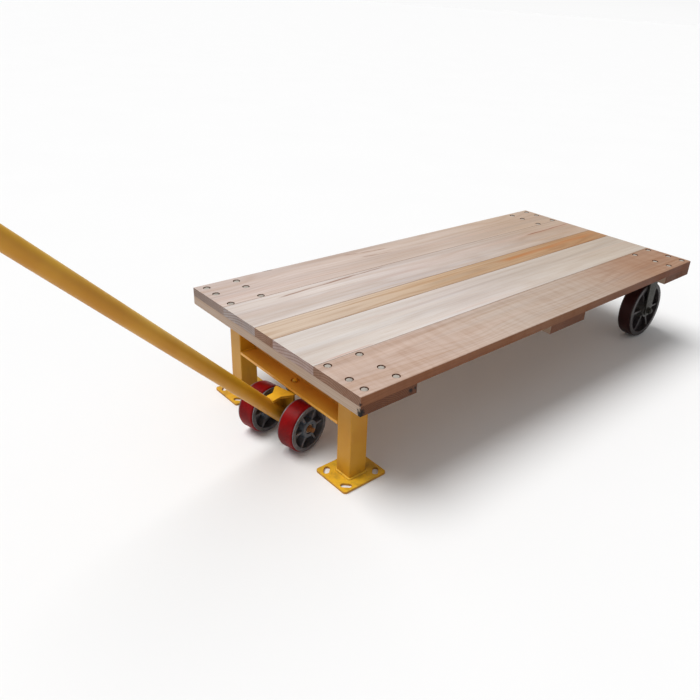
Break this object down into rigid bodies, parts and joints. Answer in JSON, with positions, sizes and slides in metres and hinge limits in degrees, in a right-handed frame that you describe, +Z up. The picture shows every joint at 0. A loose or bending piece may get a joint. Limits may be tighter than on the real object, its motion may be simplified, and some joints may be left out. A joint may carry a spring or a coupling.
{
  "type": "semi-live skid with lifting jack",
  "caption": "Hardwood platform on two fixed legs and two rigid casters, with a two-wheeled lever jack whose pin couples into the front crossmember.",
  "frame": {"origin": "centre of the overall box on the floor, with the jack and handle in the pictured position", "axes": "+X along the platform towards the casters, +Y to the left side seen from the handle end, +Z up"},
  "size_m": [2.3734, 0.741, 0.9626],
  "materials": {
    "board_1": "oiled hardwood, planed",
    "board_2": "oiled hardwood, planed",
    "board_3": "oiled hardwood, planed",
    "board_4": "oiled hardwood, planed",
    "board_5": "oiled hardwood, planed",
    "cleat_wood": "oiled hardwood, sawn ends",
    "yellow_paint": "powder coat, semi-gloss",
    "zinc_fasteners": "zinc plated",
    "zinc_caster": "zinc plated, dull",
    "bearing_steel": "ground steel, greased",
    "dark_iron": "painted casting",
    "red_tread": "polyurethane, satin",
    "maroon_tread": "polyurethane, satin",
    "black_plastic": "moulded"
  },
  "bodies": {
    "skid": {"deck_board_1": "board_1", "deck_board_2": "board_2", "deck_board_3": "board_3", "deck_board_4": "board_4", "deck_board_5": "board_5", "front_cleat": "cleat_wood", "middle_cleat": "cleat_wood", "rear_cleat": "cleat_wood", "cleat_screws": "zinc_fasteners", "deck_bolts": "zinc_fasteners", "deck_washers": "zinc_fasteners", "deck_nuts": "zinc_fasteners", "left_leg": "yellow_paint", "right_leg": "yellow_paint", "left_leg_cap": "yellow_paint", "right_leg_cap": "yellow_paint", "left_foot_plate": "yellow_paint", "right_foot_plate": "yellow_paint", "crossmember": "yellow_paint", "left_caster_fork": "zinc_caster", "right_caster_fork": "zinc_caster", "caster_axle_bolts": "zinc_caster", "caster_axle_nuts": "zinc_caster", "caster_bushings": "zinc_caster"},
    "coupling": {"king_pin": "yellow_paint"},
    "jack": {"jack_post": "yellow_paint", "jack_gusset": "yellow_paint", "jack_strap": "yellow_paint", "handle_tube": "yellow_paint", "handle_cap": "black_plastic", "pivot_bolt": "zinc_fasteners", "pivot_nut": "zinc_fasteners", "jack_axle": "yellow_paint", "axle_washers": "zinc_fasteners", "axle_rings": "zinc_fasteners"},
    "left_rear_wheel": {"left_rear_bearing": "bearing_steel", "left_rear_core": "dark_iron", "left_rear_tread": "maroon_tread"},
    "right_rear_wheel": {"right_rear_bearing": "bearing_steel", "right_rear_core": "dark_iron", "right_rear_tread": "maroon_tread"},
    "left_jack_wheel": {"left_jack_bearing": "bearing_steel", "left_jack_core": "dark_iron", "left_jack_tread": "red_tread"},
    "right_jack_wheel": {"right_jack_bearing": "bearing_steel", "right_jack_core": "dark_iron", "right_jack_tread": "red_tread"}
  },
  "joints": [
    {"name": "jack_steer", "type": "hinge", "parent": "skid", "child": "coupling", "pos_m": [-0.2898, -0.00292, 0.122], "axis": [0, 0, 1], "range_deg": [-57, 33]},
    {"name": "jack_lift", "type": "hinge", "parent": "coupling", "child": "jack", "pos_m": [-0.2898, -0.00292, 0.122], "axis": [-0.2079, 0.9781, 0], "range_deg": [-28, 1.5]},
    {"name": "left_rear_wheel_spin", "type": "hinge", "parent": "skid", "child": "left_rear_wheel", "pos_m": [1.08072, 0.2555, 0.106], "axis": [0, 1, 0], "continuous": true},
    {"name": "right_rear_wheel_spin", "type": "hinge", "parent": "skid", "child": "right_rear_wheel", "pos_m": [1.08072, -0.2555, 0.106], "axis": [0, 1, 0], "continuous": true},
    {"name": "left_jack_wheel_spin", "type": "hinge", "parent": "jack", "child": "left_jack_wheel", "pos_m": [-0.33871, -0.01331, 0.066], "axis": [-0.2079, 0.9781, 0], "continuous": true},
    {"name": "right_jack_wheel_spin", "type": "hinge", "parent": "jack", "child": "right_jack_wheel", "pos_m": [-0.33871, -0.01331, 0.066], "axis": [-0.2079, 0.9781, 0], "continuous": true}
  ]
}
